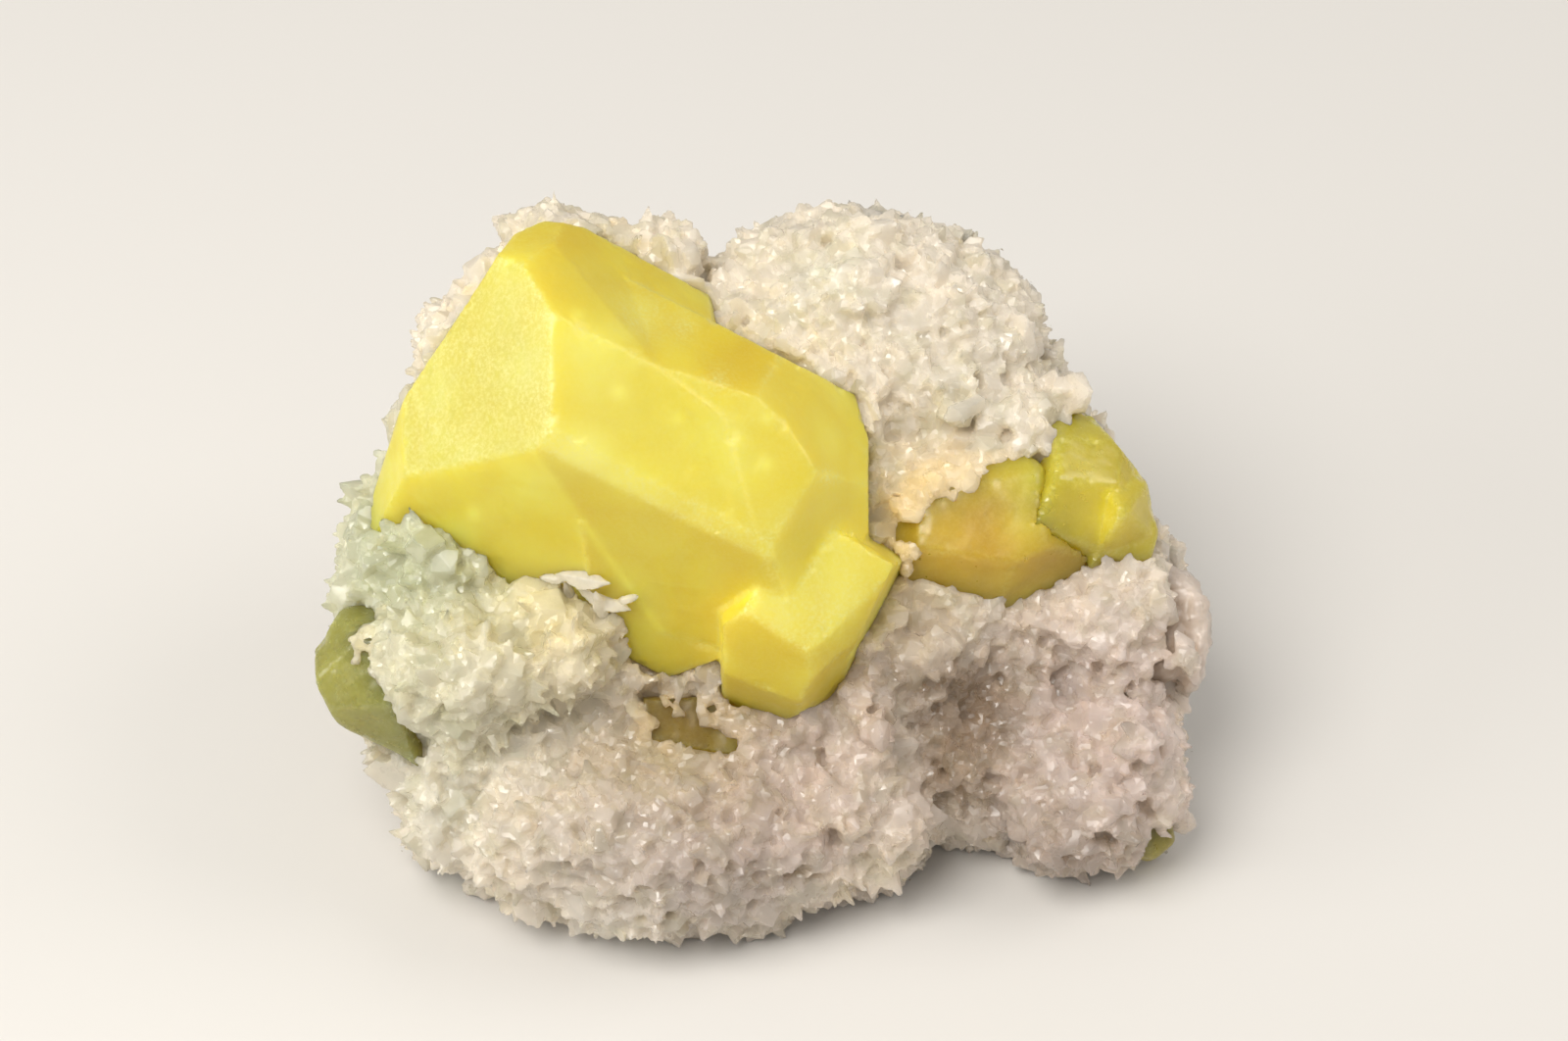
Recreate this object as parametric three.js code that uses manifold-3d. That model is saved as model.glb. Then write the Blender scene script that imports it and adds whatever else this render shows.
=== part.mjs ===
// Native sulfur crystals on a lobed drusy calcite matrix.
// Units are millimetres, +Z is up, the specimen rests on a trimmed flat base at z = 0.
//
// Everything is laid out on the display face: x across, y up the face, z out of the face.
// The display face leans back by FACE_LEAN, and is lifted by FACE_LIFT so the base is at z = 0.

import * as THREE from 'three';
import { mergeVertices } from 'three/addons/utils/BufferGeometryUtils.js';
import Module from 'manifold-3d';

const wasm = await Module();
wasm.setup();

// ---- driving dimensions ---------------------------------------------------------------

const FACE_LEAN = 45;          // degrees the display face leans back from upright
const FACE_LIFT = 28.3;        // height of the display face origin over the base
const CENTRING = [-0.35, -0.1]; // shift in x and y that puts the origin under the middle
const POCKET_GAP = 0.3;        // clearance between a crystal and the pocket it sits in
const BLANK = 140;             // size of the block a crystal is cut from
const FACET = 3.6;             // edge length of the facets of the matrix
const WELD = 1e-5;             // distance under which vertices are one

const rad = THREE.MathUtils.degToRad;

// ---- materials ------------------------------------------------------------------------

const LOOKS = {
  sulfur: { color: 0xe9d052, roughness: 0.35 },
  amber: { color: 0xc9a23c, roughness: 0.4 },
  calcite: { color: 0xe2d6bc, roughness: 0.7 },
  blade: { color: 0xf0e6cc, roughness: 0.55 },
};

// ---- solids ---------------------------------------------------------------------------

function toSolid(geometry) {
  const bare = geometry.clone();
  bare.deleteAttribute('normal');
  bare.deleteAttribute('uv');
  const welded = mergeVertices(bare, WELD);
  return new wasm.Manifold(new wasm.Mesh({
    numProp: 3,
    vertProperties: new Float32Array(welded.attributes.position.array),
    triVerts: new Uint32Array(welded.index.array),
  }));
}

function toGeometry(solid) {
  const mesh = solid.getMesh();
  const geometry = new THREE.BufferGeometry();
  geometry.setAttribute('position', new THREE.BufferAttribute(mesh.vertProperties, 3));
  geometry.setIndex(new THREE.BufferAttribute(mesh.triVerts, 1));
  const faceted = geometry.toNonIndexed();
  faceted.computeVertexNormals();
  return faceted;
}

function join(solids) {
  return solids.reduce((whole, solid) => whole.add(solid));
}

// Cutting the pockets frees a few chips of the druse, and the specimen has lost them.
function withoutChips(solid) {
  return solid.decompose().reduce((kept, body) => (body.volume() > kept.volume() ? body : kept));
}

// A block lying outside one crystal face. tilt is the angle between the face's outward
// normal and the z axis of the display face, bearing is its compass direction in x, y.
function outsideOf(face, offset) {
  const [tilt, bearing, x, y, z] = face;
  const normal = new THREE.Vector3(
    Math.sin(rad(tilt)) * Math.cos(rad(bearing)),
    Math.sin(rad(tilt)) * Math.sin(rad(bearing)),
    Math.cos(rad(tilt)),
  );
  const block = new THREE.BoxGeometry(BLANK * 2, BLANK * 2, BLANK);
  block.translate(0, 0, BLANK / 2 + offset);
  const turn = new THREE.Quaternion().setFromUnitVectors(new THREE.Vector3(0, 0, 1), normal);
  block.applyQuaternion(turn);
  block.translate(x, y, z);
  return toSolid(block);
}

// One crystal: a block cut by its faces. Each face is [tilt, bearing, x, y, z], where x, y, z
// is a point on the face. offset moves every face outward, for cutting pockets.
function crystal(faces, offset = 0) {
  const [, , x, y, z] = faces[0];
  const blank = new THREE.BoxGeometry(BLANK, BLANK, BLANK);
  blank.translate(x, y, z);
  return faces.reduce((body, face) => body.subtract(outsideOf(face, offset)), toSolid(blank));
}

function cluster(crystals, offset = 0) {
  return join(crystals.map((faces) => crystal(faces, offset)));
}

// ---- sulfur ---------------------------------------------------------------------------

// The main cluster is three crystals in parallel growth, so matching faces share tilt and
// bearing, and each crystal's front face stands a step lower than its neighbour's.
const UPPER_LEFT = [
  [14, 10, -9, 12, 26.5],          // broad front face
  [28, 265, -21.4, 14.1, 29.4],    // narrow bevel under it
  [45, 255, -22.2, 12.1, 28.3],    // lower face
  [37, 177, -22.1, 19, 29.4],      // bright left face
  [52, 245, -34.7, 10.7, 20.3],    // lower left face
  [67, 179, -38.4, 15, 17.3],      // left end
  [48, 53, -22.1, 26.7, 29],       // narrow face over the front face
  [61, 48, -16.7, 27.7, 24.5],     // upper right face
  [61, 94, -24, 33, 24.6],         // top ledge
  [84, 162, -40.7, 13.8, 9],
  [86, 146, -33.9, 24.8, 18],      // upper left side
  [90, 119, -25.6, 36, 17],
  [90, 82, -20.9, 36.8, 16],       // top
  [90, 63, -13.9, 33.8, 15],       // upper right side
  [84, 15, -7, 29.3, 17],          // right end
  [84, 255, -22, -3.6, 14],        // bottom
  [125, 152, -35, 22, 7],          // back, sunk in the matrix
  [128, 100, -22, 35, 7],
  [125, 55, -11, 33, 7],
  [180, 0, -20, 20, -2],
];

const CENTRE = [
  [14, 10, -9, 12, 26.3],
  [28, 265, -21.4, 14.1, 29.2],
  [45, 255, -22.2, 12.1, 28.1],
  [51, 63, -5.3, 19.6, 24.9],      // upper face
  [53, 39, 1.8, 15.6, 23.3],       // upper right corner
  [55, 29, 4.7, 11.6, 22.8],       // right face
  [48, 336, 3.8, 7.6, 23.2],       // lower right face
  [88, 63, 2.4, 22.4, 16],
  [88, 17, 10.1, 16.6, 15],
  [88, 0, 10.9, 8.7, 14],
  [84, 288, -7.8, -9.9, 14],
  [84, 243, -14.5, -8.9, 14],
  [86, 190, -18.1, -5.8, 15],
  [125, 55, 5, 20, 7],
  [180, 0, 0, 0, -2],
];

const LOWER_RIGHT = [
  [14, 10, 3.8, -1.9, 19.5],
  [44, 250, -2.8, -4.1, 21.2],     // front left face
  [51, 322, 4.2, -8.7, 19.7],      // front right face
  [68, 250, -2.4, -11.5, 14.9],
  [70, 315, 4.4, -12.1, 16.4],
  [65, 145, 0, 0, 20.3],           // step up to the centre crystal
  [80, 57, 12.6, 1.7, 15],
  [82, 333, 12, -2.8, 15],
  [88, 242, -2, -15.8, 9],
  [88, 295, 2.6, -15.8, 9],
  [86, 185, -4.7, -11.6, 12],
  [180, 0, 0, 0, -2],
];

const RIGHT = [
  [38, 50, 36, 11, 8.5],
  [30, 320, 36, 7, 8.5],
  [55, 20, 39.5, 9, 6.5],
  [58, 70, 34, 15, 6.4],
  [88, 40, 38.3, 13.5, 3],
  [88, 12, 42, 7, 3],
  [84, 345, 42.6, 3.5, 2],
  [88, 62, 34, 17.6, 3],
  [70, 160, 29.5, 13, 5],
  [62, 270, 36, 2, 6],
  [128, 25, 41, 10, -1],
  [125, 335, 42, 4, -1],
  [180, 0, 36, 10, -8],
];

const RIGHT_TIP = [
  [52, 65, 38.4, 6.8, 10.2],
  [60, 180, 38, 6.6, 10.2],
  [55, 300, 38.5, 6.2, 10.2],
  [62, 5, 38.9, 6.4, 10.2],
  [180, 0, 38.6, 6.6, 5],
];

const AMBER = [
  [10, 70, 23, 6, 11.5],
  [42, 95, 23, 10, 10.4],
  [48, 165, 15.5, 6, 10.4],
  [50, 15, 31, 6, 9.4],
  [50, 262, 22, 0.5, 10.8],
  [58, 300, 28, 0, 9.4],
  [86, 60, 31.6, 10.5, 6],
  [86, 130, 16, 10, 7],
  [86, 200, 13.8, 2, 7],
  [180, 0, 23, 6, -4],
];

const LEFT = [
  [25, 200, -45, -11, 13.4],
  [50, 150, -46, -8, 12.4],
  [48, 250, -45, -15, 12.4],
  [88, 148, -47.4, -6.4, 9],
  [90, 182, -48.6, -10.2, 9],
  [88, 212, -47.4, -14.4, 9],
  [88, 242, -43.2, -18, 9],
  [62, 90, -44, -4.5, 10],
  [72, 0, -38, -12, 10],
  [128, 195, -48, -12, 5],
  [120, 130, -46, -7, 5],
  [180, 0, -44, -12, -2],
];

const POCKET = [
  [18, 60, -8, -17.5, 9.6],
  [50, 265, -8, -19.8, 9],
  [84, 180, -14, -17.5, 3],
  [84, 0, -2.2, -17.5, 3],
  [84, 300, -5, -21.4, 3],
  [84, 240, -11, -21.4, 3],
  [84, 90, -8, -13, 3],
  [180, 0, -8, -16, -6],
];

const LOWER_RIGHT_BIT = [
  [28, 330, 42.4, -28.6, 0.5],
  [55, 240, 41.4, -30, 0],
  [88, 10, 44.4, -28, -2],
  [88, 310, 43.4, -30.8, -2],
  [86, 250, 41.4, -31.2, -2],
  [84, 180, 39.6, -28, -2],
  [84, 85, 42, -25.6, -2],
  [180, 0, 42, -28, -6],
];

const REAR = [
  [40, 75, -12, 34, 5.5],
  [35, 230, -12, 33, 5.8],
  [90, 64, -12, 35.6, 3],
  [90, 115, -16.4, 37.2, 3],
  [86, 175, -18, 34, 3],
  [86, 350, -7.8, 32, 3],
  [84, 245, -12, 29, 2],
  [130, 75, -12, 35.5, 1],
  [180, 0, -12, 34, -6],
];

const LOWER_LEFT_BIT = [
  [20, 250, -33.5, -29.8, 3.5],
  [55, 60, -32.8, -29, 3.2],
  [75, 175, -35.4, -30, 1],
  [75, 5, -31.8, -30, 1],
  [75, 90, -33.5, -28, 1],
  [75, 270, -33.5, -31.4, 1],
  [180, 0, -33.5, -30, -5],
];

// ---- calcite blade --------------------------------------------------------------------

const BLADE = [
  [14, 73, -18, -1.3, 18.8],
  [35, 253, -18.2, -2, 18.3],
  [76, 73, -17.8, -0.2, 17.6],
  [76, 253, -18.3, -2.7, 16.6],
  [66, 163, -22.4, 0.2, 17],
  [62, 343, -13.8, -2.7, 16.8],
  [180, 0, -18, -1.3, 10],
];

// ---- matrix ---------------------------------------------------------------------------

// Lobes of the matrix: centre x, y, z, then radius in x, y, z.
const LOBES = [
  [-13, 10, -5, 29, 24, 21],     // behind the cluster
  [-22, 14, 0, 20.5, 20, 14],    // upper left
  [-35, 0, 2, 11, 12, 12],       // left flank
  [-33.5, -9, 6, 12.5, 9, 14],   // left front
  [-23, -8, 4, 9, 7.5, 13],      // under the cluster, left
  [-13, -28.6, 0, 23, 11.5, 17], // front
  [-30, -21, -4, 13, 11, 14],    // lower left
  [4, -26, -3, 15, 11, 15],      // front middle
  [21, -21, -10, 15, 9.5, 14],   // lower middle right
  [35, -22.5, -4, 11.5, 11, 13], // lower right
  [37.5, -5, -8, 11, 11, 15],    // right middle
  [11, 21.5, -4, 20, 17.5, 15],  // upper right
  [25, 12, -5, 12.5, 14.5, 14],  // right shoulder
  [-37, 11, 3, 8.5, 9, 10],      // rim round the back of the cluster
  [-30, 23, 3, 8.3, 8, 9],
  [-23, 30.5, 3, 8.3, 8.3, 8],
  [-13.5, 29.5, 1, 8.5, 8, 9],
  [2, -3, -21, 33, 22, 19],      // rear foot
  [4, -4, -9, 36, 28, 20],       // body
];

// Relief of the lobes, coarse to fine.
const NOISE = [
  { size: 1.2, pitch: 9.5 },
  { size: 0.8, pitch: 4.6 },
  { size: 0.5, pitch: 2.4 },
];

// Larger pointed crystals of the druse that stand out of the lobes.
const TEETH = { perLobe: 22, length: 2.6, width: 1.9, sunk: 2, lean: 0.5 };
const GOLDEN_ANGLE = 2.39996;

function lump(x, y, z, pitch) {
  const a = Math.sin(x * 6.28 / pitch + 1.3 * Math.sin(y * 4.1 / pitch) + 0.7);
  const b = Math.sin(y * 6.28 / pitch + 1.1 * Math.sin(z * 4.7 / pitch) + 2.1);
  const c = Math.sin(z * 6.28 / pitch + 1.2 * Math.sin(x * 4.4 / pitch) + 4.2);
  return (a + b + c) / 3;
}

function relief(point) {
  const round = (value) => Math.round(value * 1000) / 1000;
  const x = round(point.x);
  const y = round(point.y);
  const z = round(point.z);
  return NOISE.reduce((sum, { size, pitch }) => sum + size * lump(x, y, z, pitch), 0);
}

// The point of a lobe's surface in direction out, and the surface normal there.
function lobeSurface([x, y, z, rx, ry, rz], out) {
  const point = new THREE.Vector3(x + out.x * rx, y + out.y * ry, z + out.z * rz);
  const normal = new THREE.Vector3(out.x / rx, out.y / ry, out.z / rz).normalize();
  point.addScaledVector(normal, relief(point));
  return { point, normal };
}

function lobe(shape) {
  const detail = Math.round(Math.max(shape[3], shape[4]) / FACET) - 1;
  const ball = new THREE.IcosahedronGeometry(1, detail);
  const spot = ball.attributes.position;
  const out = new THREE.Vector3();
  for (let i = 0; i < spot.count; i += 1) {
    out.fromBufferAttribute(spot, i);
    const { point } = lobeSurface(shape, out);
    spot.setXYZ(i, point.x, point.y, point.z);
  }
  return toSolid(ball);
}

// Four-sided pointed crystals spread evenly round a lobe, leaning a little off its surface.
function teeth(shape, seed) {
  const made = [];
  for (let i = 0; i < TEETH.perLobe; i += 1) {
    const high = 1 - (2 * i + 1) / TEETH.perLobe;
    const turn = GOLDEN_ANGLE * (i + seed * 3.7);
    const wide = Math.sqrt(1 - high * high);
    const out = new THREE.Vector3(wide * Math.cos(turn), wide * Math.sin(turn), high);
    const { point, normal } = lobeSurface(shape, out);
    const size = 0.75 + 0.25 * Math.sin(i * 2.7 + seed);
    const length = (TEETH.length + TEETH.sunk) * size;
    const tooth = new THREE.ConeGeometry(TEETH.width * size, length, 4);
    tooth.translate(0, length / 2 - TEETH.sunk * size, 0);
    tooth.rotateY(i * 1.9 + seed);
    normal.x += TEETH.lean * Math.sin(i * 5.3 + seed);
    normal.y += TEETH.lean * Math.sin(i * 3.1 + 2 * seed);
    normal.normalize();
    const up = new THREE.Vector3(0, 1, 0);
    tooth.applyQuaternion(new THREE.Quaternion().setFromUnitVectors(up, normal));
    tooth.translate(point.x, point.y, point.z);
    made.push(toSolid(tooth));
  }
  return join(made);
}

// ---- assembly -------------------------------------------------------------------------

const SULFUR = {
  main_sulfur_cluster: [UPPER_LEFT, CENTRE, LOWER_RIGHT],
  right_sulfur: [RIGHT, RIGHT_TIP],
  amber_sulfur: [AMBER],
  left_sulfur: [LEFT],
  pocket_sulfur: [POCKET],
  lower_right_sulfur: [LOWER_RIGHT_BIT],
  rear_sulfur: [REAR],
  lower_left_sulfur: [LOWER_LEFT_BIT],
};

const toWorld = new THREE.Matrix4()
  .makeTranslation(...CENTRING, FACE_LIFT)
  .multiply(new THREE.Matrix4().makeRotationX(rad(90 - FACE_LEAN)));

function stand(solid) {
  return solid.transform(toWorld.toArray());
}

function belowBase() {
  const block = new THREE.BoxGeometry(BLANK * 2, BLANK * 2, BLANK);
  block.translate(0, 0, -BLANK / 2);
  return toSolid(block);
}

const part = new THREE.Group();
part.name = 'native_sulfur_specimen';

function addNode(name, solid, look) {
  const material = new THREE.MeshStandardMaterial(look);
  material.name = name;
  const mesh = new THREE.Mesh(toGeometry(solid), material);
  mesh.name = name;
  part.add(mesh);
}

// Crystals listed earlier grew first, and the later ones, the blade and the matrix give way
// to them with a clearance.
const sulfur = Object.entries(SULFUR);
let blade = crystal(BLADE);
let matrix = join(LOBES.map((shape, i) => lobe(shape).add(teeth(shape, i))));
matrix = matrix.subtract(crystal(BLADE, POCKET_GAP));
for (const [, crystals] of sulfur) {
  matrix = matrix.subtract(cluster(crystals, POCKET_GAP));
  blade = blade.subtract(cluster(crystals, POCKET_GAP));
}
matrix = stand(matrix).subtract(belowBase());

addNode('calcite_matrix', withoutChips(matrix), LOOKS.calcite);
sulfur.forEach(([name, crystals], i) => {
  const earlier = sulfur.slice(0, i).map(([, others]) => cluster(others, POCKET_GAP));
  const body = earlier.reduce((rest, other) => rest.subtract(other), cluster(crystals));
  const look = name === 'amber_sulfur' ? LOOKS.amber : LOOKS.sulfur;
  addNode(name, stand(withoutChips(body)), look);
});
addNode('calcite_blade', stand(withoutChips(blade)), LOOKS.blade);

export default part;
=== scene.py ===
"""Looks of the sulfur specimen: drusy calcite grown over the matrix, and translucent sulfur."""

import itertools
import math

import bmesh
import bpy
import numpy as np
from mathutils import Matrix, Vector
from mathutils.bvhtree import BVHTree
from mathutils.kdtree import KDTree


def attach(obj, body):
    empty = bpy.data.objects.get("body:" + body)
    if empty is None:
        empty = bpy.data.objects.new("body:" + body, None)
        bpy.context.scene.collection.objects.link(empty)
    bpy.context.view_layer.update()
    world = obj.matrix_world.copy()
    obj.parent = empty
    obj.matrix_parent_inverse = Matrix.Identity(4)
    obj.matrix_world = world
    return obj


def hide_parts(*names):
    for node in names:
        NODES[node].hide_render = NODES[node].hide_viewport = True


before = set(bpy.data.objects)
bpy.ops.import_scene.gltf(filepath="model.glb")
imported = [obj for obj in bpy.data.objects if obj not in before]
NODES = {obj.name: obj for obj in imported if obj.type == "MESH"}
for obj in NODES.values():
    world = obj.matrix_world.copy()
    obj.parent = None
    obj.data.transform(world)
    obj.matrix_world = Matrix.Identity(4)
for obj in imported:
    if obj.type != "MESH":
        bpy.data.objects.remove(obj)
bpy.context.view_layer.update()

MM = 0.001
SULFUR_NODES = [name for name in NODES if name.endswith(("sulfur", "cluster"))]

# ---- the display face: x across, y up the face, z out of it, in mm ----

LEAN = math.radians(45)
FACE_ORIGIN = np.array([-0.35, -0.1, 28.3])
ACROSS = np.array([1.0, 0.0, 0.0])
UP = np.array([0.0, math.sin(LEAN), math.cos(LEAN)])
OUT = np.array([0.0, -math.cos(LEAN), math.sin(LEAN)])
FACE_AXES = np.stack([ACROSS, UP, OUT])


def from_face(point):
    """World position in metres of a point given on the display face in mm."""
    return (FACE_ORIGIN + np.asarray(point, float) @ FACE_AXES) * MM


def to_face(points):
    """Display face coordinates in mm of world positions in metres."""
    return (np.asarray(points) / MM - FACE_ORIGIN) @ FACE_AXES.T


def reaches_from(spot, place, reach):
    """Distance of places on the display face from one place, in units of its reach."""
    return np.linalg.norm(spot[:, :len(place)] - np.array(place), axis=1) / reach


def unit(vectors):
    """The rows of an array, each of them made one long."""
    return vectors / np.linalg.norm(vectors, axis=1, keepdims=True)


def add_object(name, data):
    added = bpy.data.objects.new(name, data)
    bpy.context.collection.objects.link(added)
    return added


# ---- camera and lights ----

VIEW_DISTANCE = 425.0  # of the camera from the middle of the face, mm
camera_data = bpy.data.cameras.new("camera")
camera_data.lens = 88.5
camera_data.sensor_width = 36
camera_data.shift_x = 0.01125
camera_data.shift_y = 0.0325
camera_data.clip_start = 0.01
camera = add_object("camera", camera_data)
camera.location = from_face((0, 0, VIEW_DISTANCE))
camera.rotation_euler = (math.pi / 2 - LEAN, 0, 0)
bpy.context.scene.camera = camera


def area_light(name, direction, distance, size, power, colour):
    """A round light at a distance in metres, aimed at the middle of the specimen."""
    data = bpy.data.lights.new(name, "AREA")
    data.shape = "DISK"
    data.size = size
    data.energy = power
    data.color = colour
    light = add_object(name, data)
    aim = Vector((0, 0, 0.03))
    light.location = aim + Vector(direction).normalized() * distance
    light.rotation_euler = (aim - light.location).to_track_quat("-Z", "Y").to_euler()


area_light("key", (-0.4, -0.4, 1.0), 0.75, 0.5, 4.3, (1.0, 0.97, 0.92))
area_light("left", (-1.0, -0.3, 0.5), 0.75, 0.4, 1.2, (1.0, 0.97, 0.92))
area_light("right", (0.8, 0.1, 0.8), 0.8, 0.5, 1.5, (1.0, 0.97, 0.93))

world = bpy.data.worlds.new("studio")
world.use_nodes = True
world.node_tree.nodes["Background"].inputs["Color"].default_value = (1.0, 0.98, 0.95, 1)
world.node_tree.nodes["Background"].inputs["Strength"].default_value = 0.41
bpy.context.scene.world = world
bpy.context.scene.view_settings.view_transform = "Standard"

# ---- mesh helpers ----

FAR = 20.0  # distances over this many mm are all the same


def make_object(name, vertices, faces):
    """A flat-shaded mesh object from vertex and equal-sided face arrays."""
    sides = faces.shape[1]
    mesh = bpy.data.meshes.new(name)
    mesh.vertices.add(len(vertices))
    mesh.vertices.foreach_set("co", np.ascontiguousarray(vertices, np.float32).ravel())
    mesh.loops.add(faces.size)
    mesh.loops.foreach_set("vertex_index", np.ascontiguousarray(faces, np.int32).ravel())
    mesh.polygons.add(len(faces))
    mesh.polygons.foreach_set("loop_start", np.arange(0, faces.size, sides, dtype=np.int32))
    mesh.polygons.foreach_set("use_smooth", np.zeros(len(faces), bool))
    mesh.update(calc_edges=True)
    mesh.validate()
    return add_object(name, mesh)


def positions(mesh):
    co = np.empty(len(mesh.vertices) * 3, np.float32)
    mesh.vertices.foreach_get("co", co)
    return co.reshape(-1, 3).astype(float)


def set_positions(mesh, points):
    mesh.vertices.foreach_set("co", points.astype(np.float32).ravel())
    mesh.update()


def normals(mesh):
    out = np.empty(len(mesh.vertices) * 3, np.float32)
    mesh.vertex_normals.foreach_get("vector", out)
    return out.reshape(-1, 3).astype(float)


def triangles(mesh):
    mesh.calc_loop_triangles()
    tri = np.empty(len(mesh.loop_triangles) * 3, np.int32)
    mesh.loop_triangles.foreach_get("vertices", tri)
    return tri.reshape(-1, 3)


def modify(piece, kind, **settings):
    """Change the mesh of a piece by a modifier with the given settings."""
    modifier = piece.modifiers.new("step", kind)
    for key, value in settings.items():
        setattr(modifier, key, value)
    graph = bpy.context.evaluated_depsgraph_get()
    mesh = bpy.data.meshes.new_from_object(piece.evaluated_get(graph))
    piece.modifiers.clear()
    piece.data = mesh


def copy_of_node(name, node, merge_faces):
    """A new piece with a node's surface, its coplanar faces merged if merge_faces is set."""
    bm = bmesh.new()
    bm.from_mesh(NODES[node].data)
    bmesh.ops.remove_doubles(bm, verts=bm.verts, dist=0.002 * MM)
    if merge_faces:
        bmesh.ops.dissolve_limit(bm, angle_limit=math.radians(1.5), verts=bm.verts, edges=bm.edges)
    bmesh.ops.recalc_face_normals(bm, faces=bm.faces)
    mesh = bpy.data.meshes.new(name)
    bm.to_mesh(mesh)
    bm.free()
    return add_object(name, mesh)


def remesh(piece, voxel):
    modify(piece, "REMESH", mode="VOXEL", voxel_size=voxel)


def tree_of(mesh):
    return BVHTree.FromPolygons([v.co[:] for v in mesh.vertices],
                                [p.vertices[:] for p in mesh.polygons])


def point_tree(points):
    tree = KDTree(len(points))
    for i, point in enumerate(points):
        tree.insert(point, i)
    tree.balance()
    return tree


def distances(tree, points):
    """Distance in mm of each point from the surface of the tree, FAR at most."""
    hits = [tree.find_nearest(point, FAR * MM)[3] for point in points]
    return np.array([FAR if hit is None else hit / MM for hit in hits])


def inside_of(points, tree):
    """True for each point that lies inside the closed surfaces of the tree."""
    inside = np.zeros(len(points), bool)
    for i, point in enumerate(points):
        hit, normal, _, _ = tree.find_nearest(point)
        if (Vector(point) - hit).dot(normal) < 0:
            leaving = tree.ray_cast(point, OUT)[1]
            inside[i] = leaving is not None and leaving.dot(OUT) > 0
    return inside


def smoothstep(low, high, value):
    t = np.clip((value - low) / (high - low), 0, 1)
    return t * t * (3 - 2 * t)


# ---- noise ----


def hash01(cell, seed):
    """A scattered number from 0 to 1 for each whole-numbered cell."""
    n = (cell[:, 0] * 73856093) ^ (cell[:, 1] * 19349663) ^ (cell[:, 2] * 83492791) ^ (seed * 2654435)
    n = (n ^ (n >> 13)) * 1274126177
    n = n ^ (n >> 16)
    return (n & 0xFFFFFF) / float(0xFFFFFF)


def value_noise(points, pitch, seed=0):
    """Smooth noise from 0 to 1 whose features are about pitch mm wide."""
    p = points / (pitch * MM) + 1000.0
    base = np.floor(p).astype(np.int64)
    f = p - base
    f = f * f * (3 - 2 * f)
    total = np.zeros(len(points))
    for corner in itertools.product((0, 1), repeat=3):
        near = np.where(corner, f, 1 - f)
        total += near[:, 0] * near[:, 1] * near[:, 2] * hash01(base + np.array(corner), seed)
    return total


def fbm(points, pitch, seed=0, octaves=3):
    """Layered noise from 0 to 1, each layer twice as fine and fainter than the one before."""
    total = np.zeros(len(points))
    weight = 1.0
    norm = 0.0
    for i in range(octaves):
        total += weight * value_noise(points, pitch / 2 ** i, seed + i * 17)
        norm += weight
        weight *= 0.55
    return total / norm


# ---- colour of the calcite over the specimen ----

CREAM = np.array([0.585, 0.525, 0.43])
# Stains and patches of painted light and shade: where on the display face (mm), how far it reaches
# (mm), how strong, and which colour.
STAINS_AND_PAINTED_LIGHT = [
    ((-38, 2, 8), 15, 0.8, (0.32, 0.37, 0.23)),  # painted greenish light tone left of the cluster
    ((-32, -10, 14), 12, 0.6, (0.50, 0.50, 0.35)),
    ((-21, -10, 18), 7, 0.8, (0.76, 0.67, 0.46)),  # white front left
    ((-22, -4, 17), 5.0, 0.75, (0.72, 0.61, 0.20)),  # lit by the sulfur beside it
    ((-34, -24, 6), 8, 0.5, (0.42, 0.44, 0.38)),
    ((36, -18, 6), 20, 0.85, (0.425, 0.335, 0.32)),  # painted pinkish shade on the right
    ((-6, -27, 12), 20, 0.85, (0.27, 0.22, 0.21)),  # painted pinkish shade on the front
    ((8, -22, 12), 10, 0.6, (0.47, 0.36, 0.32)),
    ((-16, -37, 6), 7, 0.6, (0.48, 0.46, 0.40)),  # clean lower edge
    ((21.5, -14, 5), 7.5, 0.95, (0.09, 0.048, 0.014)),  # painted shade in the brown hollow, with the line below
    ((21, -22, 2), 6, 0.7, (0.16, 0.105, 0.06)),
    ((17, 9, 10), 7, 0.75, (0.62, 0.48, 0.24)),  # warm beside the cluster
    ((15, 0, 12), 6, 0.6, (0.62, 0.48, 0.25)),
    ((-10, -17, 12), 7, 0.6, (0.36, 0.28, 0.13)),  # painted shade in the crevice under the cluster, with the line below
    ((-16, -18, 12), 6, 0.4, (0.40, 0.33, 0.24)),
    ((45, -3, -1), 4, 0.5, (0.46, 0.36, 0.31)),  # painted shade on the band inside the rind
    ((31, -31, 2), 9, 0.8, (0.20, 0.155, 0.13)),  # shaded lower right edge
    ((20, 26, 6), 16, 0.7, (0.56, 0.51, 0.44)),  # painted light on the top right
    ((24, 20, 14), 5, 0.35, (0.50, 0.55, 0.44)),  # faint green spots
    ((6, 32, 8), 4, 0.3, (0.50, 0.56, 0.45)),
]


def calcite_colour(points, rng, spread):
    """Colour of the calcite at world positions, with the stains and the painted light and shade blended
    in.
    """
    spot = to_face(points)
    colour = np.tile(CREAM, (len(points), 1))
    wander = fbm(points, 9.0, 5)[:, None] - 0.5
    for centre, reach, strength, patch_colour in STAINS_AND_PAINTED_LIGHT:
        gap = reaches_from(spot, centre, reach)[:, None]
        amount = strength * np.exp(-(gap * (1 + 0.9 * wander)) ** 2)
        colour = colour * (1 - amount) + np.array(patch_colour) * amount
    colour *= 1 + (fbm(points, 5.0, 9)[:, None] - 0.5) * 0.22
    colour *= 1 + rng.normal(0, spread, (len(points), 1))
    return np.clip(colour, 0.03, 0.96)


def paint(mesh, colour):
    """Store the tint of every vertex."""
    layer = mesh.color_attributes.new("tint", "FLOAT_COLOR", "POINT")
    rgba = np.ones((len(mesh.vertices), 4), np.float32)
    rgba[:, :3] = colour
    layer.data.foreach_set("color", rgba.ravel())


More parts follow.
